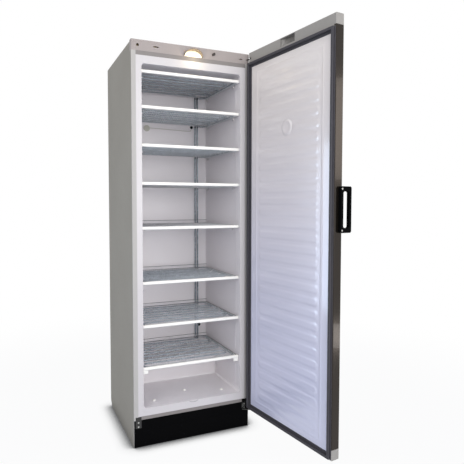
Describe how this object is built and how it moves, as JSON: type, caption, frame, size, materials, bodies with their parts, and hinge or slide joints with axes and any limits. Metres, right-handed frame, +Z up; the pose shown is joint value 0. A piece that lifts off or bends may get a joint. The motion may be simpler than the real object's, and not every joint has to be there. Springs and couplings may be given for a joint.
{
  "type": "upright freezer",
  "caption": "Tall free-standing freezer with an open side-hinged door, a lit fascia and a liner crossed by evaporator shelves of tube and wire.",
  "frame": {"origin": "on the floor, at the middle of the cabinet's front edge", "axes": "+Z up, +X to the right and -Y out of the open front, seen by someone facing the open cabinet"},
  "size_m": [0.7393, 1.166, 1.88],
  "materials": {
    "side_paint": "satin grey enamel",
    "foam": "rigid insulation foam",
    "liner_plastic": "semi-gloss vacuum-formed sheet",
    "white_trim": "semi-gloss white moulding",
    "grey_strip": "satin grey enamel",
    "black_plastic": "fine-grained black moulding",
    "fascia_plastic": "satin warm grey moulding",
    "diffuser": "translucent diffuser",
    "bulb": "frosted lamp",
    "socket_plastic": "plain white moulding",
    "switch_plastic": "smooth black moulding",
    "evaporator_paint": "grey coated tube and wire",
    "sensor_plastic": "grey moulding",
    "bracket_paint": "glossy black enamel",
    "bare_steel": "bright zinc plate",
    "zinc_steel": "galvanised sheet",
    "door_paint": "glossy grey-brown enamel",
    "gasket_rubber": "soft grey magnetic seal",
    "cap_plastic": "satin grey moulding",
    "compressor_paint": "black enamel",
    "mount_rubber": "black rubber",
    "roller_plastic": "grey nylon",
    "foot_plastic": "black nylon and zinc"
  },
  "bodies": {
    "cabinet": {"side_panel_left": "side_paint", "side_panel_right": "side_paint", "top_panel": "side_paint", "rear_panel": "side_paint", "foam_walls": "foam", "foam_back": "foam", "foam_top": "foam", "foam_floor": "foam", "foam_hump": "foam", "liner": "liner_plastic", "front_frame": "white_trim", "shelf_trims": "white_trim", "shelf_pegs": "white_trim", "front_rails": "grey_strip", "bottom_rail": "black_plastic", "plinth": "black_plastic", "relay_cover": "black_plastic", "liner_plugs": "black_plastic", "top_fascia": "fascia_plastic", "lamp_hood": "fascia_plastic", "lamp_lens": "diffuser", "lamp_bulb": "bulb", "lamp_holder": "socket_plastic", "switch_body": "socket_plastic", "drip_tray": "socket_plastic", "evaporator_shelf_1": "evaporator_paint", "evaporator_shelf_2": "evaporator_paint", "evaporator_shelf_3": "evaporator_paint", "evaporator_shelf_4": "evaporator_paint", "evaporator_shelf_5": "evaporator_paint", "evaporator_shelf_6": "evaporator_paint", "evaporator_shelf_7": "evaporator_paint", "evaporator_shelf_8": "evaporator_paint", "riser_tubes": "evaporator_paint", "sensor_disc": "sensor_plastic", "sensor_lead": "sensor_plastic", "hinge_bracket_lower": "bracket_paint", "reversing_plate": "bracket_paint", "hinge_bracket_upper": "bracket_paint", "hinge_pins": "bare_steel", "hinge_screws": "bare_steel", "roller_axles": "bare_steel", "base_pan": "zinc_steel", "compressor": "compressor_paint", "condenser": "compressor_paint", "compressor_mounts": "mount_rubber"},
    "door": {"door_skin": "door_paint", "door_foam": "foam", "door_panel": "white_trim", "door_gasket": "gasket_rubber", "door_top_cap": "cap_plastic", "door_bottom_cap": "cap_plastic", "lamp_recess": "zinc_steel", "door_handle": "black_plastic", "handle_screws": "bare_steel"},
    "plunger": {"switch_plunger": "switch_plastic"},
    "roller_left_body": {"roller_left": "roller_plastic"},
    "roller_right_body": {"roller_right": "roller_plastic"},
    "foot_left_body": {"foot_left": "foot_plastic"},
    "foot_right_body": {"foot_right": "foot_plastic"}
  },
  "joints": [
    {"name": "door_hinge", "type": "hinge", "parent": "cabinet", "child": "door", "pos_m": [0.2935, -0.022, 0.95], "axis": [0, 0, 1], "range_deg": [-97.3, 32.7]},
    {"name": "switch_travel", "type": "slide", "parent": "cabinet", "child": "plunger", "axis": [0, 1, 0], "range_m": [0, 0.006], "stiffness_N_per_m": 200, "springref_m": -0.002},
    {"name": "roller_left_spin", "type": "hinge", "parent": "cabinet", "child": "roller_left_body", "pos_m": [-0.25, 0.5, 0.01], "axis": [1, 0, 0], "continuous": true},
    {"name": "roller_right_spin", "type": "hinge", "parent": "cabinet", "child": "roller_right_body", "pos_m": [0.25, 0.5, 0.01], "axis": [1, 0, 0], "continuous": true},
    {"name": "foot_left_turn", "type": "hinge", "parent": "cabinet", "child": "foot_left_body", "pos_m": [-0.262, 0.05, 0], "axis": [0, 0, 1], "continuous": true},
    {"name": "foot_right_turn", "type": "hinge", "parent": "cabinet", "child": "foot_right_body", "pos_m": [0.262, 0.05, 0], "axis": [0, 0, 1], "continuous": true}
  ]
}
